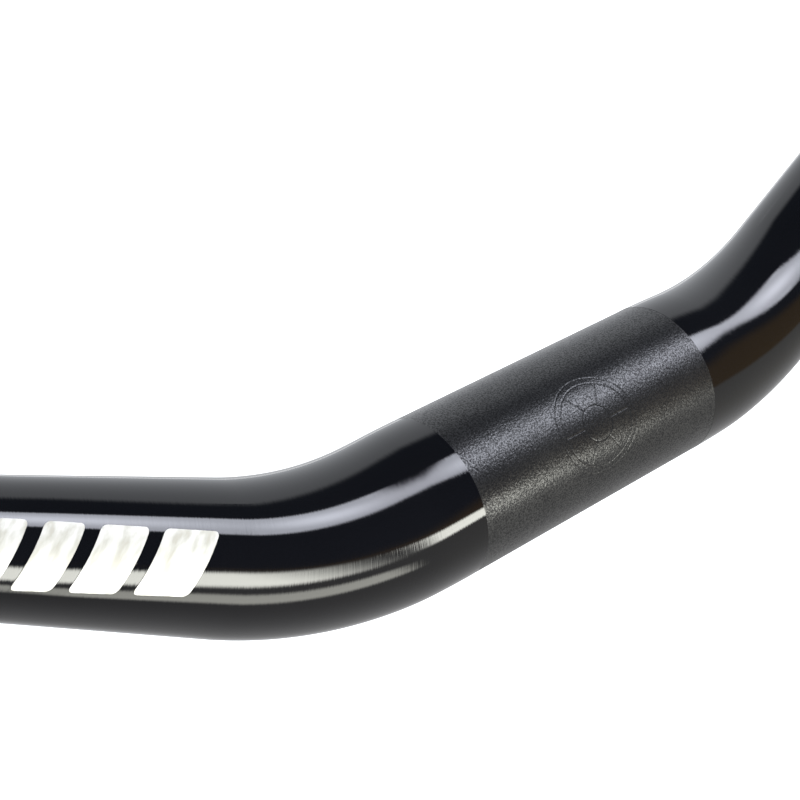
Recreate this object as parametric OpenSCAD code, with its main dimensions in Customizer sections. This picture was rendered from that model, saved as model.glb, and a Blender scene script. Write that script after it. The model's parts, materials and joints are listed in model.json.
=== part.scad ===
// Riser handlebar: a butted aluminium tube, its stripe graphic and two push-in end plugs.
// The origin is the centre of the clamp zone. +X runs along the bar, +Z is up and +Y points
// back to the rider. The left half is the mirror image of the right half.

/* [Clamp zone] */
// Outside diameter where the stem holds the bar
clamp_d = 31.8; // [31.8, 35]
// Wall thickness where the stem holds the bar
clamp_wall = 2.6; // [2.0:0.1:3.2]
// Length of the straight middle, from bend to bend
middle_l = 77; // [70:1:84]

/* [Arms] */
// Width over both ends of the tube
bar_w = 780; // [740:10:820]
// Height of the tube's ends above the clamp centre
rise = 65; // [60:1:75]
// Angle of the first bend, out of the straight middle
rise_angle = 27; // [25:1:30]
// Lean of the first bends' plane towards the rider
lean_angle = 8; // [0:1:12]
// Centreline radius of every bend
bend_r = 84; // [75:1:100]
// Length over which the tube tapers, from the start of the first bend
taper_l = 80; // [70:1:90]

/* [Grips] */
// Outside diameter of the tube under the grips
grip_d = 22.2; // [22.0:0.1:22.4]
// Wall thickness of the tube under the grips
grip_wall = 2.1; // [1.6:0.1:2.4]
// Angle that the grips sweep back to the rider
backsweep = 8; // [5:1:10]
// Angle that the grips sweep up
upsweep = 5; // [3:1:6]

/* [End plugs] */
// Thickness of a plug's cap
cap_t = 3.2; // [2.5:0.1:5]
// Length of a plug's stem
stem_l = 19; // [16:1:24]
// Radial gap between a plug's ribs and the tube
plug_gap = 0.05; // [0.03:0.01:0.1]
// Number of ribs on a plug's stem
rib_count = 4; // [3:1:5]

/* [Stripe graphic] */
// Distance of the first stripe from the bend
stripe_start = 6; // [3:0.5:7]
// Height of the stripes
stripe_h = 10.5; // [8:0.5:14]
// Number of stripes
stripe_count = 6; // [3:1:6]
// Width of the first stripe, next to the bend
first_stripe_w = 9.5; // [6:0.5:11]
// Width of the last stripe
last_stripe_w = 2; // [1:0.5:4]
// Gap between two stripes
stripe_gap = 2.6; // [1:0.1:3]
// Slant of the stripes, whose tops lean towards the bend
stripe_slant = 24; // [0:1:30]
// Thickness of the foil
foil_t = 0.08; // [0.05:0.01:0.12]

/* [Hidden] */
$fn = 96;

clamp_r = clamp_d / 2;
grip_r = grip_d / 2;
grip_bore_r = grip_r - grip_wall;
end_chamfer = 0.4;

// A bend is slightly thinner than the straight tube at its ends and reaches into the tube's wall,
// so that every joint between them is a clean crossing.
bend_inset = 0.05;
bend_overlap = 2;

// The tapered bend is swept in rings.
bend_steps = 9;
ring_sides = 36;

// Arm frame: its x runs along the arm, and its z is up, square to the arm in the bend's plane.
function to_arm(v) = let (
        y1 = v.y * cos(lean_angle) - v.z * sin(lean_angle),
        z1 = v.y * sin(lean_angle) + v.z * cos(lean_angle)
    ) [v.x * cos(rise_angle) + z1 * sin(rise_angle), y1, z1 * cos(rise_angle) - v.x * sin(rise_angle)];

function from_arm(v) = let (
        x1 = v.x * cos(rise_angle) - v.z * sin(rise_angle),
        z1 = v.x * sin(rise_angle) + v.z * cos(rise_angle)
    ) [x1, v.y * cos(lean_angle) + z1 * sin(lean_angle), z1 * cos(lean_angle) - v.y * sin(lean_angle)];

// The grip's direction, and the second bend that turns the arm into it.
grip_slope = [1, tan(backsweep), tan(upsweep)];
grip_dir = grip_slope / norm(grip_slope);
grip_in_arm = to_arm(grip_dir);
second_angle = acos(grip_in_arm.x);
second_roll = atan2(grip_in_arm.z, grip_in_arm.y);
second_shift = bend_r * [
    sin(second_angle),
    (1 - cos(second_angle)) * cos(second_roll),
    (1 - cos(second_angle)) * sin(second_roll)
];

// The arm's and the grip's straight lengths follow from the width and the rise.
bend_arc = bend_r * rise_angle * PI / 180;
bend_end = [bend_r * sin(rise_angle), 0, bend_r * (1 - cos(rise_angle))];
arm_dir = from_arm([1, 0, 0]);
bends_reach = [middle_l / 2, 0, 0]
    + [bend_end.x, bend_end.z * sin(lean_angle), bend_end.z * cos(lean_angle)]
    + from_arm(second_shift);
left_over = [bar_w / 2, 0, rise] - bends_reach;
det = arm_dir.x * grip_dir.z - arm_dir.z * grip_dir.x;
arm_l = (left_over.x * grip_dir.z - left_over.z * grip_dir.x) / det;
grip_l = (arm_dir.x * left_over.z - arm_dir.z * left_over.x) / det;

// Radii of the tube at a length u along its centreline from the start of the first bend.
function taper(u) = min(max(u / taper_l, 0), 1);
function outer_r(u) = clamp_r + (grip_r - clamp_r) * taper(u);
function bore_r(u) = clamp_r - clamp_wall + (grip_bore_r - clamp_r + clamp_wall) * taper(u);

// Turns the X axis into the bar's leaning frame.
module leaning() {
    rotate([-lean_angle, 0, 0]) children();
}

// Places children at the end of the first bend, in the arm frame.
module at_arm() {
    leaning()
        translate([middle_l / 2 + bend_end.x, 0, bend_end.z])
            rotate([0, -rise_angle, 0]) children();
}

// Places children at the end of the arm, rolled so that the second bend turns towards +y.
module at_second_bend() {
    at_arm() translate([arm_l, 0, 0]) rotate([second_roll, 0, 0]) children();
}

// Places children at the inner end of the grip, with x along it.
module at_grip() {
    at_second_bend()
        translate([bend_r * sin(second_angle), bend_r * (1 - cos(second_angle)), 0])
            rotate([0, 0, second_angle]) children();
}

// Turns a profile of [length, radius] points about the X axis.
module turned(points) {
    rotate([0, 90, 0]) rotate_extrude() polygon([for (p = points) [p.y, p.x]]);
}

// One ring of the tapered bend, at length u, with the given radius.
function ring(u, r) = let (
        on_arc = min(max(u, 0), bend_arc),
        tilt = rise_angle * on_arc / bend_arc,
        straight = u - on_arc,
        x = bend_r * sin(tilt) + straight * cos(tilt),
        z = bend_r * (1 - cos(tilt)) + straight * sin(tilt)
    ) [
        for (i = [0:ring_sides - 1])
            let (a = 360 * i / ring_sides)
                [x - r * sin(a) * sin(tilt), r * cos(a), z + r * sin(a) * cos(tilt)]
    ];

// The first bend, which tapers as it turns. Its outer and inner walls and its two ends close it.
module tapered_bend() {
    us = [
        -bend_overlap,
        for (i = [0:bend_steps - 1]) bend_arc * (i + 0.5) / bend_steps,
        bend_arc + bend_overlap
    ];
    last = len(us) - 1;
    outer = [for (u = us) each ring(u, outer_r(u) - bend_inset)];
    inner = [for (u = us) each ring(u, (bore_r(u) + bend_inset) / cos(180 / ring_sides))];
    n = ring_sides;
    inside = len(outer);
    function quad(a, b, c, d) = [[a, b, c], [a, c, d]];
    translate([middle_l / 2, 0, 0])
        polyhedron(
            points = concat(outer, inner),
            faces = [
                for (k = [0:last - 1], i = [0:n - 1])
                    let (j = (i + 1) % n, p = k * n, q = p + n)
                        each concat(
                            quad(p + i, q + i, q + j, p + j),
                            quad(inside + p + i, inside + p + j, inside + q + j, inside + q + i)
                        ),
                for (i = [0:n - 1])
                    let (j = (i + 1) % n, q = last * n)
                        each concat(
                            quad(i, j, inside + j, inside + i),
                            quad(q + j, q + i, inside + q + i, inside + q + j)
                        )
            ]
        );
}

// The second bend, at full length plus its overlaps.
module second_bend() {
    overlap_angle = bend_overlap / bend_r * 180 / PI;
    translate([0, bend_r, 0])
        rotate([0, 0, -90 - overlap_angle])
            rotate_extrude(angle = second_angle + 2 * overlap_angle)
                translate([bend_r, 0]) difference() {
                    circle(grip_r - bend_inset);
                    circle(grip_bore_r + bend_inset);
                }
}

module arm() {
    taper_end = taper_l - bend_arc;
    turned([
        [0, outer_r(bend_arc)], [taper_end, grip_r], [arm_l, grip_r],
        [arm_l, grip_bore_r], [taper_end, grip_bore_r], [0, bore_r(bend_arc)]
    ]);
}

module grip_end() {
    turned([
        [0, grip_r], [grip_l - end_chamfer, grip_r], [grip_l, grip_r - end_chamfer],
        [grip_l, grip_bore_r + end_chamfer], [grip_l - end_chamfer, grip_bore_r], [0, grip_bore_r]
    ]);
}

module half_tube() {
    leaning() tapered_bend();
    at_arm() arm();
    at_second_bend() second_bend();
    at_grip() grip_end();
}

module handlebar_tube() {
    color("#17171a") union() {
        turned([
            [-middle_l / 2, clamp_r], [middle_l / 2, clamp_r],
            [middle_l / 2, clamp_r - clamp_wall], [-middle_l / 2, clamp_r - clamp_wall]
        ]);
        half_tube();
        mirror([1, 0, 0]) half_tube();
    }
}

// A push-in plug along +x. Its cap covers the tube's end, its ribbed stem goes into the bore, and two
// crossed slots split the stem's inner end into four springy fingers.
module end_plug() {
    cap_edge = 0.8;
    dish = 0.7;
    dish_r = grip_r - 4.2;
    lip_r = grip_r - 3;
    rib_r = grip_bore_r - plug_gap;
    core_r = rib_r - 1.5;
    hollow_r = core_r - 1.8;
    hollow_tip = 0.6;
    rib_w = 1.2;
    rib_side = 0.6;
    pitch = stem_l / rib_count;
    slot_w = 1.6;
    slot_l = stem_l - 2 * pitch + 2 * rib_side + rib_w;
    cap = [
        [-stem_l, hollow_r], [0, hollow_r], [hollow_tip, 0],
        [cap_t - dish, 0], [cap_t - dish, dish_r], [cap_t, lip_r],
        [cap_t, grip_r - cap_edge], [cap_t - cap_edge, grip_r], [0, grip_r], [0, core_r]
    ];
    ribs = [
        for (i = [1:rib_count])
            let (x = -i * pitch)
                each [
                    [x + rib_w + 2 * rib_side, core_r], [x + rib_w + rib_side, rib_r],
                    [x + rib_side, rib_r], [x, core_r]
                ]
    ];
    color("#141416") difference() {
        turned(concat(cap, ribs));
        for (turn = [0, 90])
            rotate([turn, 0, 0])
                translate([-stem_l - 1, -grip_r, -slot_w / 2])
                    cube([slot_l + 1, 2 * grip_r, slot_w]);
    }
}

module end_plug_right() {
    at_grip() translate([grip_l, 0, 0]) end_plug();
}

module end_plug_left() {
    mirror([1, 0, 0]) end_plug_right();
}

// The foil follows the arm's tapered outside, a hair above it.
module foil_skin() {
    hair = 0.01;
    taper_end = taper_l - bend_arc;
    inner = [[0, outer_r(bend_arc) + hair], [taper_end, grip_r + hair], [arm_l, grip_r + hair]];
    outer = [for (i = [2, 1, 0]) inner[i] + [0, foil_t]];
    turned(concat(inner, outer));
}

// Slanted stripes on the front of the left arm, each narrower than the one before.
module stripe_graphic() {
    front_angle = 3;
    shear = stripe_h / 2 * tan(stripe_slant);
    narrowing = (first_stripe_w - last_stripe_w) / (stripe_count - 1);
    color("#c9c9cc") mirror([1, 0, 0]) at_arm() rotate([-front_angle, 0, 0]) intersection() {
        foil_skin();
        for (i = [0:stripe_count - 1]) {
            before = i * (first_stripe_w + stripe_gap) - narrowing * i * (i - 1) / 2;
            w = first_stripe_w - narrowing * i;
            translate([stripe_start + shear + before, 0, 0]) rotate([90, 0, 0]) linear_extrude(clamp_r)
                polygon([
                    [shear, -stripe_h / 2], [w + shear, -stripe_h / 2],
                    [w - shear, stripe_h / 2], [-shear, stripe_h / 2]
                ]);
        }
    }
}

handlebar_tube();
stripe_graphic();
end_plug_left();
end_plug_right();
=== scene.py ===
# The look of the riser handlebar: its tube, stripe graphic and end plugs, a studio and a camera.
# Everything is in metres in the CAD frame. The origin is the centre of the clamp zone, +X runs along
# the bar, +Z is up and +Y points back to the rider. The left half mirrors the right half.

import json
import math

import bmesh
import bpy
import numpy as np
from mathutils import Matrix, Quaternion, Vector


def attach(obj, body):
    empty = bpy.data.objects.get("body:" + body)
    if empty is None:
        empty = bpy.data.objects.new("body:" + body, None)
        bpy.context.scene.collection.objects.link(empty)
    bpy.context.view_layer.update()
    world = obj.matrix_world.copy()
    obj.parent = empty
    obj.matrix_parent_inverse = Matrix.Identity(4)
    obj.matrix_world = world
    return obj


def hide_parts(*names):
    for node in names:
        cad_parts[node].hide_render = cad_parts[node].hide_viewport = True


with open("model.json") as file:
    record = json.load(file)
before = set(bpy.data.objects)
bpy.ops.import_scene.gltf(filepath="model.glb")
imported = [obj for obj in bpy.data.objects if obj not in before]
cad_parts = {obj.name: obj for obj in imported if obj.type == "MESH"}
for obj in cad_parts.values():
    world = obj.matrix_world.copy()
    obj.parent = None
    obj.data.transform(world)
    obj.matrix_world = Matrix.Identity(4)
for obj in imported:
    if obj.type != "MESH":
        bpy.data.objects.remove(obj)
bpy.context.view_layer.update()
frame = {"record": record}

MM = 0.001

# ---------------------------------------------------------------- sizes

mounts = {mount["name"]: mount for mount in frame["record"]["mounts"]}
clamp_mount = mounts["stem_clamp"]["dims"]
grip_mount = mounts["grip_right"]

CLAMP_R = clamp_mount["r_mm"] * MM
HALF_MIDDLE = clamp_mount["length_mm"] * MM / 2
GRIP_R = grip_mount["dims"]["r_mm"] * MM
GRIP_DIR = Vector(grip_mount["axis"]).normalized()

# The tube's shape between the clamp zone and the grips.
RISE_ANGLE = math.radians(27)
LEAN_ANGLE = math.radians(8)
BEND_R = 84 * MM
TAPER_START = 30.7 * MM
TAPER_L = 96 * MM
TAPER_EASE = 14.4 * MM
CLAMP_WALL = 2.6 * MM
GRIP_WALL = 2.1 * MM
GRIP_BORE_R = GRIP_R - GRIP_WALL
END_CHAMFER = 0.4 * MM

# The textured band in the middle, a hair below the gloss paint, and the roundel cut into it.
HALF_BAND = 30.7 * MM
BAND_STEP = 0.03 * MM
ROUNDEL_ANGLE = math.radians(74)
ROUNDEL_R = 9.4 * MM
GROOVE_HALF_W = 0.15 * MM
GROOVE_DEPTH = 0.045 * MM

# The stripes on the front of the left arm.
STRIPE_START = 6 * MM
STRIPE_H = 10.5 * MM
STRIPE_COUNT = 6
FIRST_STRIPE_W = 9.5 * MM
LAST_STRIPE_W = 2 * MM
STRIPE_GAP = 2.6 * MM
STRIPE_SLANT = math.radians(24)
STRIPE_CORNER_R = 0.9 * MM
STRIPE_ANGLE = math.radians(87)
FOIL_T = 0.08 * MM
FOIL_HAIR = 0.01 * MM

# The end plugs.
CAP_T = 3.2 * MM
STEM_L = 19 * MM
PLUG_GAP = 0.05 * MM
RIB_COUNT = 4
RIB_PITCH = STEM_L / RIB_COUNT
RIB_W = 1.2 * MM
RIB_SIDE = 0.6 * MM
SLOT_W = 1.6 * MM
SLOT_L = STEM_L - 2 * RIB_PITCH + 2 * RIB_SIDE + RIB_W

# ---------------------------------------------------------------- centreline

UP = Vector((0, math.sin(LEAN_ANGLE), math.cos(LEAN_ANGLE)))
FIRST_AXIS = Vector((1, 0, 0)).cross(UP)
ARM_DIR = Quaternion(FIRST_AXIS, RISE_ANGLE) @ Vector((1, 0, 0))
SECOND_ANGLE = ARM_DIR.angle(GRIP_DIR)
SECOND_AXIS = ARM_DIR.cross(GRIP_DIR).normalized()

grip_mount_l = grip_mount["dims"]["length_mm"] * MM
grip_start = Vector(grip_mount["pos_m"]) - GRIP_DIR * grip_mount_l / 2
arm_start = (
    Vector((HALF_MIDDLE + BEND_R * math.sin(RISE_ANGLE), 0, 0))
    + UP * BEND_R * (1 - math.cos(RISE_ANGLE))
)
second_corner = grip_start - GRIP_DIR * BEND_R * math.tan(SECOND_ANGLE / 2)
ARM_L = (second_corner - arm_start).length - BEND_R * math.tan(SECOND_ANGLE / 2)
GRIP_L = grip_mount_l + END_CHAMFER

# Lengths along the centreline from the middle of the bar.
FIRST_BEND_END = HALF_MIDDLE + BEND_R * RISE_ANGLE
ARM_END = FIRST_BEND_END + ARM_L
SECOND_BEND_END = ARM_END + BEND_R * SECOND_ANGLE
TUBE_END = SECOND_BEND_END + GRIP_L

# Straight and bent stretches of the right half: length, and the axis of the bend if there is one. The
# last one runs on past the tube's end, for the plug's cap.
STRETCHES = (
    (HALF_MIDDLE, None),
    (BEND_R * RISE_ANGLE, FIRST_AXIS),
    (ARM_L, None),
    (BEND_R * SECOND_ANGLE, SECOND_AXIS),
    (2 * GRIP_L, None),
)


def station(along):
    """The centreline of the right half at a length along it: centre, up and front directions."""
    centre = Vector((0, 0, 0))
    tangent = Vector((1, 0, 0))
    up = UP.copy()
    for length, axis in STRETCHES:
        part = min(along, length)
        if axis is None:
            centre = centre + tangent * part
        else:
            angle = part / BEND_R
            inward = axis.cross(tangent)
            centre = centre + BEND_R * (math.sin(angle) * tangent + (1 - math.cos(angle)) * inward)
            turn = Quaternion(axis, angle)
            tangent = turn @ tangent
            up = turn @ up
        along -= part
        if along <= 0:
            break
    return centre, up, tangent.cross(up)


def narrowed(along):
    """How far the tube has narrowed from the clamp size to the grip size, from 0 to 1.

    The taper eases in and out, and is straight between.
    """
    past = min(max(abs(along) - TAPER_START, 0), TAPER_L)
    left = TAPER_L - past
    if past < TAPER_EASE:
        lost = past * past / (2 * TAPER_EASE)
    elif left < TAPER_EASE:
        lost = TAPER_L - TAPER_EASE - left * left / (2 * TAPER_EASE)
    else:
        lost = past - TAPER_EASE / 2
    return lost / (TAPER_L - TAPER_EASE)


def outer_r(along):
    """The tube's outer radius."""
    return CLAMP_R + (GRIP_R - CLAMP_R) * narrowed(along)


def bore_r(along):
    """The tube's inner radius."""
    return CLAMP_R - CLAMP_WALL + (GRIP_BORE_R - CLAMP_R + CLAMP_WALL) * narrowed(along)


# ---------------------------------------------------------------- mesh helpers

TUBE_SIDES = 160
PLUG_SIDES = 128
SHARP_ANGLE = math.radians(28)
MERGE_DISTANCE = 0.0001 * MM

# The tube's three pieces meet at narrow rings, so that their shading runs on across the seam.
SEAM_RING = 0.05 * MM


def around(count):
    """Evenly spaced angles round the tube. 0 is up and a quarter turn is the front."""
    return np.linspace(0, 2 * math.pi, count, endpoint=False)


def ring(along, radius, angles):
    """Points round the centreline. A negative length is on the left half."""
    centre, up, front = station(abs(along))
    side = np.array((-1.0 if along < 0 else 1.0, 1.0, 1.0))
    reach = np.broadcast_to(radius, angles.shape)[:, None]
    out = np.outer(np.cos(angles), up) + np.outer(np.sin(angles), front)
    return (np.array(centre) + reach * out) * side


def mesh_object(name, points, faces, lengths=None):
    """A shaded object from points and faces. Lengths along the tube are kept for its materials."""
    mesh = bpy.data.meshes.new(name)
    mesh.from_pydata(points.tolist(), [], faces)
    if lengths is not None:
        kept = mesh.attributes.new("along", "FLOAT", "POINT")
        kept.data.foreach_set("value", np.asarray(lengths, np.float32))
    shape = bmesh.new()
    shape.from_mesh(mesh)
    bmesh.ops.remove_doubles(shape, verts=shape.verts, dist=MERGE_DISTANCE)
    bmesh.ops.recalc_face_normals(shape, faces=shape.faces)
    shape.to_mesh(mesh)
    shape.free()
    mesh.shade_smooth()
    mesh.set_sharp_from_angle(angle=SHARP_ANGLE)
    piece = bpy.data.objects.new(name, mesh)
    bpy.context.scene.collection.objects.link(piece)
    return piece


def turned(name, profile, angles, closed, slots=None):
    """A piece swept round the centreline from a profile of (length, radius) points.

    A closed profile makes a tube. An open one starts and ends on the centreline. slots gives the
    material slot of each stretch of the profile.
    """
    sides = len(angles)
    points = np.concatenate([ring(along, radius, angles) for along, radius in profile])
    lengths = np.repeat([along for along, radius in profile], sides)
    last = len(profile) if closed else len(profile) - 1
    faces = []
    face_slots = []
    for i in range(last):
        here = i * sides
        there = (i + 1) % len(profile) * sides
        for j in range(sides):
            k = (j + 1) % sides
            faces.append((here + j, there + j, there + k, here + k))
            face_slots.append(slots[i] if slots else 0)
    piece = mesh_object(name, points, faces, lengths)
    if slots:
        piece.data.polygons.foreach_set("material_index", face_slots)
    return piece


def steps(start, end, spacing):
    """Evenly spaced values from start to end, at most spacing apart."""
    return list(np.linspace(start, end, max(2, math.ceil(abs(end - start) / spacing) + 1)))


def filleted(corners, radius, count=5):
    """A profile of (length, radius) corners, rounded where a corner gives its own fillet size."""
    rounded = []
    for i, corner in enumerate(corners):
        here = np.array(corner[:2])
        size = corner[2] * radius if len(corner) > 2 else 0
        if size == 0:
            rounded.append(tuple(here))
            continue
        before = np.array(corners[i - 1][:2]) - here
        after = np.array(corners[(i + 1) % len(corners)][:2]) - here
        start = here + before / np.linalg.norm(before) * size
        end = here + after / np.linalg.norm(after) * size
        for t in np.linspace(0, 1, count):
            rounded.append(tuple((1 - t) ** 2 * start + 2 * t * (1 - t) * here + t * t * end))
    return rounded


# ---------------------------------------------------------------- the tube

# Material slots. The middle has gloss, band and bore, and an arm has gloss and bore.
GLOSS_SLOT = 0
BAND_SLOT = 1
BORE_SLOT = 2
ARM_BORE_SLOT = 1


def groove(distance):
    """Depth of a round-bottomed groove at a distance from its middle."""
    return GROOVE_DEPTH * np.clip(1 - (distance / GROOVE_HALF_W) ** 2, 0, 1)


def roundel_depth(x, angles):
    """Depth of the roundel, a plain wheel: two rims, a hub and six spokes."""
    spoke_count = 6
    rim_inner_r = 0.87 * ROUNDEL_R
    hub_r = 0.36 * ROUNDEL_R
    v = (angles - ROUNDEL_ANGLE) * CLAMP_R
    from_middle = np.hypot(x, v)
    depth = np.zeros_like(angles)
    for circle_r in (ROUNDEL_R, rim_inner_r, hub_r):
        depth = np.maximum(depth, groove(from_middle - circle_r))
    turn = np.arctan2(v, x)
    pitch = 2 * math.pi / spoke_count
    off_spoke = (turn + pitch / 2) % pitch - pitch / 2
    beside = from_middle * np.sin(np.abs(off_spoke))
    on_spoke = (from_middle > hub_r) & (from_middle < rim_inner_r)
    return np.maximum(depth, np.where(on_spoke, groove(beside), 0))


def make_middle():
    """The straight middle of the tube: the textured band with its roundel, and gloss on each side."""
    fine_step = 0.1 * MM
    band_step = 2 * MM
    gloss_step = 1 * MM
    bore_step = 8 * MM
    coarse_turn = math.radians(2.5)
    margin = 0.6 * MM
    reach = ROUNDEL_R + margin
    first_angle = ROUNDEL_ANGLE - reach / CLAMP_R
    last_angle = ROUNDEL_ANGLE + reach / CLAMP_R
    angles = np.concatenate([
        steps(first_angle, last_angle, fine_step / CLAMP_R),
        steps(last_angle, first_angle + 2 * math.pi, coarse_turn)[1:-1],
    ])
    lip = 0.02 * MM
    band_r = CLAMP_R - BAND_STEP
    xs = (
        steps(-HALF_BAND + lip, -reach, band_step)
        + steps(-reach, reach, fine_step)[1:-1]
        + steps(reach, HALF_BAND - lip, band_step)
    )
    gloss_xs = steps(HALF_BAND, HALF_MIDDLE - SEAM_RING, gloss_step) + [HALF_MIDDLE]
    profile = [(-x, outer_r(x)) for x in reversed(gloss_xs)]
    profile += [(x, band_r - roundel_depth(x, angles)) for x in xs]
    profile += [(x, outer_r(x)) for x in gloss_xs]
    profile += [(x, bore_r(x)) for x in steps(HALF_MIDDLE, -HALF_MIDDLE, bore_step)]
    slots = []
    places = [x for x, radius in profile]
    for i, (x, next_x) in enumerate(zip(places, places[1:] + places[:1])):
        on_outside = i < 2 * len(gloss_xs) + len(xs) - 1
        in_band = abs(x + next_x) / 2 < HALF_BAND
        if not on_outside:
            slots.append(BORE_SLOT)
        elif in_band:
            slots.append(BAND_SLOT)
        else:
            slots.append(GLOSS_SLOT)
    return turned("tube_middle", profile, angles, closed=True, slots=slots)


def make_arm_tube(name, side):
    """One half of the tube, from the first bend to the rounded end of the grip."""
    bend_step = math.radians(0.75) * BEND_R
    arm_step = 1.5 * MM
    grip_step = 4 * MM
    rounding_start = TUBE_END - 2 * END_CHAMFER
    lengths = (
        [HALF_MIDDLE]
        + steps(HALF_MIDDLE + SEAM_RING, FIRST_BEND_END, bend_step)
        + steps(FIRST_BEND_END, ARM_END, arm_step)[1:]
        + steps(ARM_END, SECOND_BEND_END, bend_step)[1:]
        + steps(SECOND_BEND_END, rounding_start, grip_step)[1:]
    )
    end = filleted(
        [
            (rounding_start, GRIP_R),
            (TUBE_END, GRIP_R, 1),
            (TUBE_END, GRIP_BORE_R, 1),
            (rounding_start, GRIP_BORE_R),
        ],
        END_CHAMFER,
    )
    outside = [(side * s, outer_r(s)) for s in lengths]
    inside = [(side * s, bore_r(s)) for s in reversed(lengths[::2])]
    profile = outside + [(side * s, r) for s, r in end[1:-1]] + inside
    bore_from = len(outside) + len(end) - 3
    slots = [GLOSS_SLOT if i < bore_from else ARM_BORE_SLOT for i in range(len(profile))]
    return turned(name, profile, around(TUBE_SIDES), closed=True, slots=slots)


# ---------------------------------------------------------------- the stripe graphic

def foil_patch(left, right, rows):
    """Points of a thin closed patch of foil on the left arm, and its faces.

    rows are heights above the middle of the stripe. left and right give the patch's two edges, as
    lengths along the arm, at each row.
    """
    columns = 9
    across = np.linspace(0, 1, columns)
    layers = []
    for lift in (FOIL_HAIR, FOIL_HAIR + FOIL_T):
        for row, start, end in zip(rows, left, right):
            for t in across:
                along = FIRST_BEND_END + start + (end - start) * t
                surface_r = outer_r(along)
                angle = STRIPE_ANGLE - math.asin(row / surface_r)
                layers.append(ring(-along, surface_r + lift, np.array([angle]))[0])
    count = len(rows)
    top = count * columns
    faces = []
    for i in range(count - 1):
        for j in range(columns - 1):
            a = i * columns + j
            faces.append((a, a + 1, a + columns + 1, a + columns))
            faces.append((top + a, top + a + columns, top + a + columns + 1, top + a + 1))
    edge = list(range(columns))
    edge += [i * columns + columns - 1 for i in range(1, count)]
    edge += [(count - 1) * columns + j for j in reversed(range(columns - 1))]
    edge += [i * columns for i in reversed(range(1, count - 1))]
    for i, a in enumerate(edge):
        b = edge[(i + 1) % len(edge)]
        faces.append((a, b, top + b, top + a))
    return np.array(layers), faces


def make_stripes():
    """Slanted stripes with rounded corners, each narrower than the one before."""
    corner_rows = 6
    straight_rows = 24
    half = STRIPE_H / 2
    turn = np.linspace(0, math.pi / 2, corner_rows)
    rounding = half - STRIPE_CORNER_R + STRIPE_CORNER_R * np.sin(turn)
    inset_end = STRIPE_CORNER_R * (1 - np.cos(turn))
    inner_rows = np.linspace(STRIPE_CORNER_R - half, half - STRIPE_CORNER_R, straight_rows)
    rows = np.concatenate([-rounding[:0:-1], inner_rows, rounding[1:]])
    inset = np.concatenate([inset_end[:0:-1], np.zeros(len(inner_rows)), inset_end[1:]])
    lean = -rows * math.tan(STRIPE_SLANT)
    narrowing = (FIRST_STRIPE_W - LAST_STRIPE_W) / (STRIPE_COUNT - 1)
    start = STRIPE_START + half * math.tan(STRIPE_SLANT)
    points = np.zeros((0, 3))
    faces = []
    for i in range(STRIPE_COUNT):
        width = FIRST_STRIPE_W - narrowing * i
        patch, patch_faces = foil_patch(start + lean + inset, start + lean + width - inset, rows)
        faces += [tuple(corner + len(points) for corner in face) for face in patch_faces]
        points = np.concatenate([points, patch])
        start += width + STRIPE_GAP
    return mesh_object("stripe_foil", points, faces)


# ---------------------------------------------------------------- the end plugs

def plug_profile():
    """A plug's profile, from the middle of its cap to the tip of its hollow.

    Its corners are lengths from the tube's end, radii and shares of the usual fillet.
    """
    fillet = 0.3 * MM
    dish = 0.7 * MM
    dish_r = GRIP_R - 4.2 * MM
    lip_r = GRIP_R - 3 * MM
    nub_r = 1.4 * MM
    nub_h = 0.25 * MM
    rib_h = 1.5 * MM
    stem_wall = 1.8 * MM
    rib_r = GRIP_BORE_R - PLUG_GAP
    core_r = rib_r - rib_h
    hollow_r = core_r - stem_wall
    hollow_tip = 0.6 * MM
    floor = CAP_T - dish
    corners = [
        (floor + nub_h, 0),
        (floor + nub_h, nub_r, 0.5),
        (floor, nub_r + nub_h, 0.5),
        (floor, dish_r, 1),
        (CAP_T, lip_r, 1),
        (CAP_T, GRIP_R, 3),
        (0, GRIP_R, 0.6),
        (0, core_r, 0.6),
    ]
    for i in range(1, RIB_COUNT + 1):
        foot = -i * RIB_PITCH
        corners += [
            (foot + RIB_W + 2 * RIB_SIDE, core_r, 0.6),
            (foot + RIB_W + RIB_SIDE, rib_r, 0.6),
            (foot + RIB_SIDE, rib_r, 0.6),
            (foot, core_r, 0.6 if i < RIB_COUNT else 0.4),
        ]
    corners += [(-STEM_L, hollow_r, 0.6), (0, hollow_r, 1), (hollow_tip, 0)]
    return filleted(corners, fillet)


def cut(piece, cutter):
    """Takes the cutter away from the piece, and removes the cutter."""
    boolean = piece.modifiers.new("cut", "BOOLEAN")
    boolean.object = cutter
    boolean.operation = "DIFFERENCE"
    boolean.solver = "EXACT"
    evaluated = piece.evaluated_get(bpy.context.evaluated_depsgraph_get())
    mesh = bpy.data.meshes.new_from_object(evaluated)
    piece.modifiers.clear()
    piece.data = mesh
    bpy.data.objects.remove(cutter)
    mesh.shade_smooth()
    mesh.set_sharp_from_angle(angle=SHARP_ANGLE)


def make_slot_cutter(name, side, turned_by):
    """A box across the inner end of a plug's stem, which splits it into springy fingers."""
    overshoot = 1 * MM
    centre, up, front = station(TUBE_END - STEM_L)
    across = Quaternion(GRIP_DIR, turned_by) @ up
    thick = GRIP_DIR.cross(across)
    corners = []
    for a in (-overshoot, SLOT_L):
        for b in (-GRIP_R, GRIP_R):
            for c in (-SLOT_W / 2, SLOT_W / 2):
                corner = centre + GRIP_DIR * a + across * b + thick * c
                corners.append((corner.x * side, corner.y, corner.z))
    faces = [(0, 1, 3, 2), (4, 6, 7, 5), (0, 4, 5, 1), (2, 3, 7, 6), (0, 2, 6, 4), (1, 5, 7, 3)]
    return mesh_object(name, np.array(corners), faces)


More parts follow.
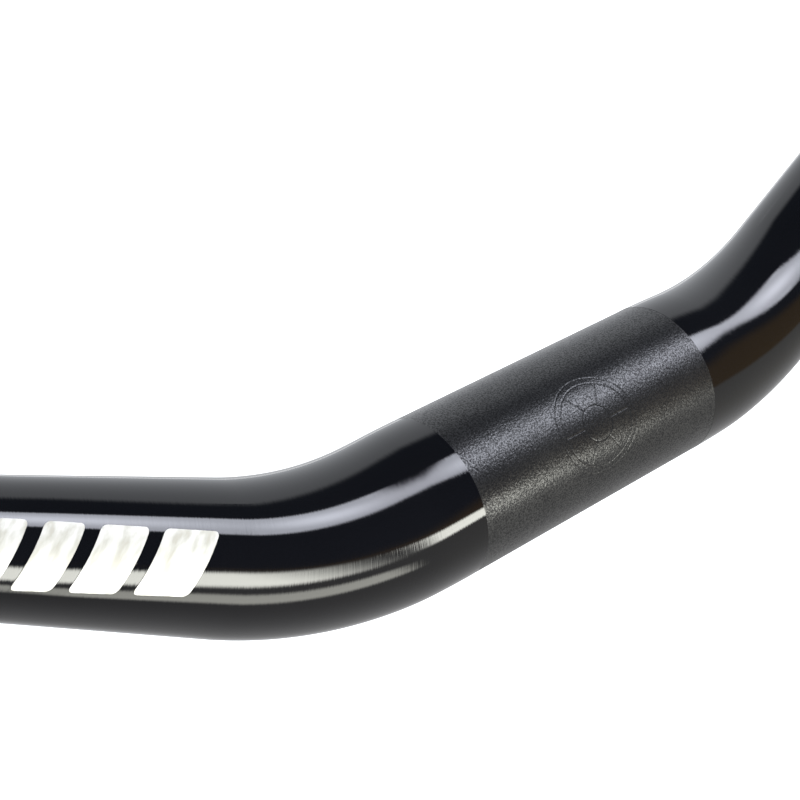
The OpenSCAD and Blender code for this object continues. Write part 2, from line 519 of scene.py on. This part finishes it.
def make_plug(name, side):
    """A push-in plug at one end of the tube."""
    profile = [(side * (TUBE_END + length), radius) for length, radius in plug_profile()]
    piece = turned(name, profile, around(PLUG_SIDES), closed=False)
    for i, turned_by in enumerate((0, math.pi / 2)):
        cut(piece, make_slot_cutter(f"{name}_slot_{i}", side, turned_by))
    return piece


# ---------------------------------------------------------------- materials

class Look:
    """A material with one Principled shader, built from short node calls."""

    def __init__(self, name):
        self.material = bpy.data.materials.new(name)
        self.material.use_nodes = True
        self.tree = self.material.node_tree
        self.shader = self.tree.nodes["Principled BSDF"]
        self.place = self.node("ShaderNodeTexCoord").outputs["Object"]

    def node(self, kind, **values):
        """Adds a node. A value that is a socket is linked, and any other is set as a default."""
        made = self.tree.nodes.new(kind)
        for name, value in values.items():
            if hasattr(made, name):
                setattr(made, name, value)
            else:
                self.feed(made.inputs[name.replace("_", " ")], value)
        return made

    def feed(self, socket, value):
        """Links a value that is a socket, and sets any other as the default."""
        if isinstance(value, bpy.types.NodeSocket):
            self.tree.links.new(value, socket)
        else:
            socket.default_value = value

    def set(self, **values):
        """Sets or links inputs of the shader."""
        for name, value in values.items():
            self.feed(self.shader.inputs[name.replace("_", " ")], value)

    def sums(self, operation, *values):
        """A Math node's result."""
        made = self.node("ShaderNodeMath", operation=operation)
        for socket, value in zip(made.inputs, values):
            self.feed(socket, value)
        return made.outputs[0]

    def scaled(self, vector, scale):
        """A vector multiplied by a vector."""
        made = self.node("ShaderNodeVectorMath", operation="MULTIPLY")
        self.feed(made.inputs[0], vector)
        self.feed(made.inputs[1], scale)
        return made.outputs[0]

    def noise(self, vector, grain, detail):
        """Noise from 0 to 1, with features of about a grain's size in the vector's unit."""
        return self.node("ShaderNodeTexNoise", Vector=vector, Scale=1 / grain, Detail=detail).outputs[0]

    def between(self, value, low, high, new_low, new_high):
        """A value from low to high, moved smoothly to new_low to new_high."""
        made = self.node("ShaderNodeMapRange", interpolation_type="SMOOTHSTEP")
        for socket, number in zip(made.inputs, (value, low, high, new_low, new_high)):
            self.feed(socket, number)
        return made.outputs[0]

    def share(self, value, start, end):
        """How far a value is on its way from start to end, from 0 to 1."""
        return self.between(value, start, end, 0, 1)

    def mixed(self, share, first, second):
        """A colour from first to second by a share from 0 to 1."""
        made = self.node("ShaderNodeMix", data_type="RGBA")
        self.feed(made.inputs["Factor"], share)
        colours = [socket for socket in made.inputs if socket.type == "RGBA"]
        self.feed(colours[0], (*first, 1) if isinstance(first, tuple) else first)
        self.feed(colours[1], (*second, 1) if isinstance(second, tuple) else second)
        return next(socket for socket in made.outputs if socket.type == "RGBA")

    def bumped(self, height, depth):
        """A normal from a height from 0 to 1, which stands for a depth in metres."""
        return self.node("ShaderNodeBump", Height=height, Distance=depth).outputs[0]

    def hairlines(self, spacing, wander):
        """Fine lines round the tube, from 0 to 1, that wander slowly round it."""
        along = self.node("ShaderNodeAttribute", attribute_name="along").outputs["Fac"]
        apart = self.node("ShaderNodeSeparateXYZ", Vector=self.place)
        vector = self.node(
            "ShaderNodeCombineXYZ",
            X=self.sums("DIVIDE", along, spacing),
            Y=self.sums("DIVIDE", apart.outputs["Y"], wander),
            Z=self.sums("DIVIDE", apart.outputs["Z"], wander),
        ).outputs[0]
        return self.noise(vector, grain=1, detail=3)

    def glowing(self, colour):
        """The material, finished as a card that shines with a colour and reflects nothing."""
        self.set(
            Base_Color=(0, 0, 0, 1),
            Specular_IOR_Level=0.0,
            Emission_Color=colour,
            Emission_Strength=1.0,
        )
        self.material.cycles.emission_sampling = "NONE"
        return self.material


def gloss_paint():
    """Deep black gloss with faint polishing lines round the tube and soft smears."""
    look = Look("gloss_black_paint")
    lines = look.hairlines(spacing=0.25 * MM, wander=12 * MM)
    smear = look.noise(look.place, grain=22 * MM, detail=3)
    black = look.mixed(smear, (0.0010, 0.0010, 0.0016), (0.0022, 0.0022, 0.0030))
    look.set(
        Base_Color=black,
        Roughness=look.between(smear, 0.3, 0.7, 0.035, 0.06),
        IOR=1.5,
        Normal=look.bumped(lines, depth=0.008 * MM),
    )
    return look.material


def textured_paint():
    """Matt black with a fine, even, blasted grain."""
    look = Look("textured_black_paint")
    grain = look.noise(look.place, grain=0.4 * MM, detail=2)
    speckle = look.noise(look.place, grain=0.3 * MM, detail=1)
    patches = look.noise(look.place, grain=9 * MM, detail=2)
    look.set(
        Base_Color=look.mixed(patches, (0.0050, 0.0050, 0.0058), (0.0085, 0.0085, 0.0090)),
        Specular_IOR_Level=look.between(speckle, 0.36, 0.64, 0.16, 0.68),
        Roughness=look.between(patches, 0.3, 0.7, 0.28, 0.32),
        IOR=1.5,
        Normal=look.bumped(grain, depth=0.05 * MM),
    )
    return look.material


def bore_finish():
    """Dark anodised aluminium with drawing marks, inside the tube."""
    look = Look("anodised_bore")
    lines = look.hairlines(spacing=0.5 * MM, wander=3 * MM)
    look.set(
        Base_Color=look.mixed(lines, (0.035, 0.035, 0.038), (0.075, 0.075, 0.080)),
        Metallic=1.0,
        Roughness=look.between(lines, 0.2, 0.8, 0.38, 0.52),
        Normal=look.bumped(lines, depth=0.004 * MM),
    )
    return look.material


def satin_foil():
    """Bright cream satin foil with faint slanted streaks."""
    look = Look("satin_silver_foil")
    streak_l = 9 * MM
    streak_w = 1.4 * MM
    streak_turn = (0, math.radians(38), 0)
    turned_place = look.node("ShaderNodeMapping", Vector=look.place, Rotation=streak_turn).outputs[0]
    streak_place = look.scaled(turned_place, (1 / streak_l, 1 / streak_w, 1 / streak_w))
    streaks = look.noise(streak_place, grain=1, detail=4)
    grain = look.noise(look.place, grain=0.3 * MM, detail=2)
    dark_streaks = look.share(streaks, 0.35, 0.7)
    look.set(
        Base_Color=look.mixed(dark_streaks, (0.50, 0.495, 0.475), (0.35, 0.34, 0.30)),
        Metallic=0.25,
        Roughness=look.between(streaks, 0.3, 0.7, 0.42, 0.52),
        Normal=look.bumped(grain, depth=0.004 * MM),
    )
    return look.material


def moulded_plastic():
    """Black nylon with a fine eroded grain and soft sheen variation."""
    look = Look("moulded_black_plastic")
    grain = look.noise(look.place, grain=0.22 * MM, detail=3)
    clouds = look.noise(look.place, grain=5 * MM, detail=2)
    look.set(
        Base_Color=look.mixed(clouds, (0.012, 0.012, 0.013), (0.022, 0.022, 0.023)),
        Roughness=look.between(clouds, 0.3, 0.7, 0.48, 0.6),
        Normal=look.bumped(grain, depth=0.012 * MM),
    )
    return look.material


# ---------------------------------------------------------------- the object

def finish_piece(piece, body, node, materials):
    """Gives a piece its materials, ties it to its body and hides its CAD node."""
    for material in materials:
        piece.data.materials.append(material)
    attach(piece, body)
    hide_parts(node)


SIDES = (("left", -1), ("right", 1))

gloss = gloss_paint()
bore = bore_finish()
finish_piece(make_middle(), "bar", "handlebar_tube", [gloss, textured_paint(), bore])
for side_name, side in SIDES:
    arm_tube = make_arm_tube(f"tube_{side_name}", side)
    finish_piece(arm_tube, "bar", "handlebar_tube", [gloss, bore])
finish_piece(make_stripes(), "bar", "stripe_graphic", [satin_foil()])
plastic = moulded_plastic()
for side_name, side in SIDES:
    plug = make_plug(f"plug_{side_name}", side)
    finish_piece(plug, f"{side_name}_plug", f"end_plug_{side_name}", [plastic])

# ---------------------------------------------------------------- studio

# The floor stands well below the bar. In the bar's reflections a glowing card just above the floor stands
# in for it: a painted reflection of a table, with painted shade in front of and below the bar.
FLOOR_Z = -0.4
FLOOR_HALF = 30
TABLE_LIFT = 0.005
TABLE_HALF = 4

# Colours of the studio, as radiances. DARK, WARM and the table's colours glow on cards that only the bar's
# reflections see, as painted reflections. The table's grey in front and below is painted shade.
BACKDROP = (1.01, 1.045, 1.10)
DARK = (0.07, 0.085, 0.11)
WARM = (0.36, 0.24, 0.10)
# Painted shade: the grey of the table in front of and below the bar, which only the bar's reflections see.
TABLE_SHADE_LEFT = (0.37, 0.37, 0.36)
TABLE_SHADE_RIGHT = (0.56, 0.55, 0.51)
TABLE_SHADE_BELOW = (0.64, 0.64, 0.64)
TABLE_BACK = (0.95, 0.97, 1.00)
STRIP = (16.2, 16.3, 15.0)
STRIP_UNDER = (5.2, 5.2, 4.7)

# The dark walls and ceiling of the studio are glowing cards, a painted reflection of a dark room that only
# the bar's reflections see. They stand well away from the bar. The back is open to the world.
WALL_LEFT_X = -5.4
WALL_RIGHT_X = 3.6
WALL_FRONT_Y = -2.7
WALL_RIGHT_END_Y = 0.4
CEILING_Z = 2.7
CEILING_BACK_Y = 7

# The front wall card's painted warm glow at its foot rises to the right: where it is as high as the bar,
# and its slope.
WARM_FROM_X = 1.9
WARM_SLOPE = 0.8

# The ceiling card's painted dark reflection ends at a slanting line: its distance behind the bar, and its
# slope to the right.
CEILING_EDGE_Y = 2.0
CEILING_EDGE_SLOPE = -0.5
CEILING_EDGE_SOFT = 0.35

# How far a softbox stands from the bar, and how far a bright middle reaches, as a share of its size.
SOFTBOX_DISTANCE = 2.2
HOT_MIDDLE_R = 0.42

# The camera. Yaw is to the right, pitch up and roll clockwise. Its lens and sensor are in mm.
CAMERA_PLACE = (-0.1881, -0.21413, 0.13215)
CAMERA_YAW = math.radians(35.85)
CAMERA_PITCH = math.radians(-22.79)
CAMERA_ROLL = math.radians(9.86)
LENS = 72.44
SENSOR_W = 36


def direction(azimuth, elevation):
    """A unit vector. Azimuth 0 is the front and grows towards +X, and elevation is above the horizon."""
    a = math.radians(azimuth)
    e = math.radians(elevation)
    return Vector((math.sin(a) * math.cos(e), -math.cos(a) * math.cos(e), math.sin(e)))


def soften(light, fade_x, fade_y, hot_middle):
    """Fades a rectangular light out towards its edges, and makes its middle brighter.

    The light's own coordinates run from 0 to 1 across its width and its height.
    """
    light.use_nodes = True
    tree = light.node_tree
    place = tree.nodes.new("ShaderNodeNewGeometry").outputs["Parametric"]
    apart = tree.nodes.new("ShaderNodeSeparateXYZ")
    tree.links.new(place, apart.inputs[0])
    from_middle = tree.nodes.new("ShaderNodeVectorMath")
    from_middle.operation = "DISTANCE"
    tree.links.new(place, from_middle.inputs[0])
    middle = (0.5, 0.5, 0)
    from_middle.inputs[1].default_value = middle
    glow = tree.nodes.new("ShaderNodeMapRange")
    glow.interpolation_type = "SMOOTHSTEP"
    tree.links.new(from_middle.outputs["Value"], glow.inputs["Value"])
    glow.inputs["From Max"].default_value = HOT_MIDDLE_R
    glow.inputs["To Min"].default_value = hot_middle
    strength = glow.outputs[0]
    for axis, edge, inside in (
        ("X", 0, fade_x[0]),
        ("X", 1, 1 - fade_x[1]),
        ("Y", 0, fade_y[0]),
        ("Y", 1, 1 - fade_y[1]),
    ):
        fade = tree.nodes.new("ShaderNodeMapRange")
        fade.interpolation_type = "SMOOTHSTEP"
        tree.links.new(apart.outputs[axis], fade.inputs["Value"])
        fade.inputs["From Min"].default_value = edge
        fade.inputs["From Max"].default_value = inside
        tree.links.new(strength, fade.inputs["To Max"])
        strength = fade.outputs[0]
    emission = next(node for node in tree.nodes if node.type == "EMISSION")
    tree.links.new(strength, emission.inputs["Strength"])


def softbox(
    name, azimuth, elevation, size, radiance, fade_x, fade_y, location=None, roll=0, hot_middle=1
):
    """A rectangular light that shines away from the side of its azimuth and elevation, in degrees.

    Without a location it stands on that side of the bar. radiance is its colour and brightness. fade_x
    and fade_y are the shares of its width and height that fade out, one at each edge. hot_middle is how
    many times as bright it is in its middle.
    """
    width, height = size
    strongest = max(radiance)
    light = bpy.data.lights.new(name, "AREA")
    light.shape = "RECTANGLE"
    light.size = width
    light.size_y = height
    light.color = [part / strongest for part in radiance]
    light.energy = strongest * math.pi * width * height
    soften(light, fade_x, fade_y, hot_middle)
    lamp = bpy.data.objects.new(name, light)
    side = direction(azimuth, elevation)
    turn = Quaternion((0, 0, 1), math.radians(roll))
    lamp.location = location or side * SOFTBOX_DISTANCE
    lamp.rotation_mode = "QUATERNION"
    lamp.rotation_quaternion = (-side).to_track_quat("-Z", "Y") @ turn
    lamp.visible_camera = False
    bpy.context.scene.collection.objects.link(lamp)


def flat(name, corners, material):
    """A flat piece of the studio."""
    mesh = bpy.data.meshes.new(name)
    mesh.from_pydata(corners, [], [tuple(range(len(corners)))])
    mesh.materials.append(material)
    made = bpy.data.objects.new(name, mesh)
    bpy.context.scene.collection.objects.link(made)
    return made


def card(name, corners, material):
    """A flat card that only the bar's reflections see, which shows a painted reflection."""
    made = flat(name, corners, material)
    made.visible_camera = False
    made.visible_diffuse = False
    made.visible_shadow = False


def level_square(half, z):
    """Corners of a level square round the bar."""
    return [(-half, -half, z), (half, -half, z), (half, half, z), (-half, half, z)]


def pale_floor():
    """A pale floor, lit from within as a light table."""
    look = Look("pale_floor")
    look.set(
        Base_Color=(0.9, 0.9, 0.9, 1),
        Roughness=1.0,
        Emission_Color=(1, 1, 1, 1),
        Emission_Strength=0.75,
    )
    look.material.cycles.emission_sampling = "NONE"
    return look.material


def table_glow():
    """A painted reflection of the table, as the bar's paint sees it: grey with painted shade in front and
    below, and pale behind.

    Far in front it is a painted reflection, dark on the left and warm on the right.
    """
    look = Look("table_card")
    apart = look.node("ShaderNodeSeparateXYZ", Vector=look.place).outputs
    x = apart["X"]
    y = apart["Y"]
    # Painted shade in front of and below the bar, and a painted dark and warm reflection far in front.
    far_in_front = look.mixed(look.share(x, 0.3, 1.3), DARK, WARM)
    in_front = look.mixed(look.share(x, -0.4, 0.6), TABLE_SHADE_LEFT, TABLE_SHADE_RIGHT)
    front = look.mixed(look.share(y, -1.3, -0.9), far_in_front, in_front)
    front_and_below = look.mixed(look.share(y, -0.3, 0.1), front, TABLE_SHADE_BELOW)
    return look.glowing(look.mixed(look.share(y, 0.15, 0.6), front_and_below, TABLE_BACK))


def front_wall_glow():
    """A painted reflection of the front wall, as the bar's paint sees it: dark, with a dim warm glow at
    its foot that rises to the right.
    """
    look = Look("wall_card")
    apart = look.node("ShaderNodeSeparateXYZ", Vector=look.place).outputs
    rise = look.sums("MULTIPLY", look.sums("SUBTRACT", apart["X"], WARM_FROM_X), WARM_SLOPE)
    height = look.sums("SUBTRACT", apart["Z"], rise)
    # Painted reflection: a dark wall with a warm glow at its foot.
    return look.glowing(look.mixed(look.share(height, -0.3, 0.5), WARM, DARK))


def right_wall_glow():
    """A painted reflection of the right wall, as the bar's paint sees it: dark."""
    return Look("dark_card").glowing((*DARK, 1))


def ceiling_glow():
    """A painted reflection of the ceiling, as the bar's paint sees it: dark, and open to the backdrop's
    light beyond its edge, painted there in the backdrop's colour.
    """
    look = Look("ceiling_card")
    apart = look.node("ShaderNodeSeparateXYZ", Vector=look.place).outputs
    slant = look.sums("MULTIPLY", apart["X"], CEILING_EDGE_SLOPE)
    behind = look.sums("SUBTRACT", apart["Y"], slant)
    open_share = look.share(behind, CEILING_EDGE_Y - CEILING_EDGE_SOFT, CEILING_EDGE_Y + CEILING_EDGE_SOFT)
    # Painted reflection: dark, with the backdrop's colour beyond the slanting edge.
    return look.glowing(look.mixed(open_share, DARK, BACKDROP))


def make_room():
    """The world's backdrop, the floor, and glowing cards that paint the walls, ceiling and table into the
    bar's reflections.
    """
    world = bpy.data.worlds.new("studio")
    world.use_nodes = True
    background = world.node_tree.nodes["Background"]
    background.inputs["Color"].default_value = (*BACKDROP, 1)
    bpy.context.scene.world = world

    flat("floor", level_square(FLOOR_HALF, FLOOR_Z), pale_floor())
    card("table_card", level_square(TABLE_HALF, FLOOR_Z + TABLE_LIFT), table_glow())
    front_left = (WALL_LEFT_X, WALL_FRONT_Y)
    front_right = (WALL_RIGHT_X, WALL_FRONT_Y)
    side_end = (WALL_RIGHT_X, WALL_RIGHT_END_Y)
    for name, start, end, material in (
        ("front_card", front_left, front_right, front_wall_glow()),
        ("right_card", front_right, side_end, right_wall_glow()),
    ):
        corners = [(*start, FLOOR_Z), (*end, FLOOR_Z), (*end, CEILING_Z), (*start, CEILING_Z)]
        card(name, corners, material)
    ceiling = [front_left, front_right, (WALL_RIGHT_X, CEILING_BACK_Y), (WALL_LEFT_X, CEILING_BACK_Y)]
    card("ceiling_card", [(x, y, CEILING_Z) for x, y in ceiling], ceiling_glow())


def make_lights():
    """Softboxes round the bar, and small strips close in front of it for its narrow highlights."""
    softbox(
        "softbox_high",
        azimuth=51.7,
        elevation=39.5,
        size=(0.92, 1.0),
        radiance=(7.6, 7.85, 8.8),
        fade_x=(0.12, 0.12),
        fade_y=(0.1, 0.1),
        roll=21,
        hot_middle=1.7,
    )
    softbox(
        "softbox_front",
        azimuth=-8,
        elevation=44,
        size=(1.2, 0.5),
        radiance=(3.0, 3.05, 3.2),
        fade_x=(0.3, 0.3),
        fade_y=(0.2, 0.2),
    )
    softbox(
        "softbox_back",
        azimuth=180,
        elevation=36,
        size=(1.8, 0.5),
        radiance=(4.0, 4.1, 4.3),
        fade_x=(0.3, 0.3),
        fade_y=(0.2, 0.2),
    )
    softbox(
        "strip_low",
        azimuth=-20.7,
        elevation=-20.6,
        size=(0.25, 0.072),
        radiance=STRIP,
        fade_x=(0.3, 0.3),
        fade_y=(0.25, 0.25),
        location=(-0.074, -0.169, -0.055),
        roll=-3,
    )
    softbox(
        "strip_side",
        azimuth=-20.7,
        elevation=-20.6,
        size=(0.22, 0.060),
        radiance=STRIP,
        fade_x=(0.15, 0.6),
        fade_y=(0.25, 0.25),
        location=(0.147, -0.250, -0.070),
        roll=-3,
    )
    softbox(
        "strip_under",
        azimuth=-13,
        elevation=-41.7,
        size=(0.21, 0.07),
        radiance=STRIP_UNDER,
        fade_x=(0.1, 0.1),
        fade_y=(0.3, 0.3),
        location=(-0.037, -0.182, -0.166),
        roll=-0.7,
    )


def make_camera():
    """The camera, at the photographer's place in front of the left arm."""
    data = bpy.data.cameras.new("camera")
    data.lens = LENS
    data.sensor_width = SENSOR_W
    camera = bpy.data.objects.new("camera", data)
    camera.location = CAMERA_PLACE
    to_the_side = Quaternion((0, 0, 1), -CAMERA_YAW)
    upright = Quaternion((1, 0, 0), math.pi / 2 + CAMERA_PITCH)
    camera.rotation_mode = "QUATERNION"
    camera.rotation_quaternion = to_the_side @ upright @ Quaternion((0, 0, 1), -CAMERA_ROLL)
    bpy.context.scene.collection.objects.link(camera)
    bpy.context.scene.camera = camera


make_room()
make_lights()
make_camera()
bpy.context.scene.view_settings.view_transform = "Standard"
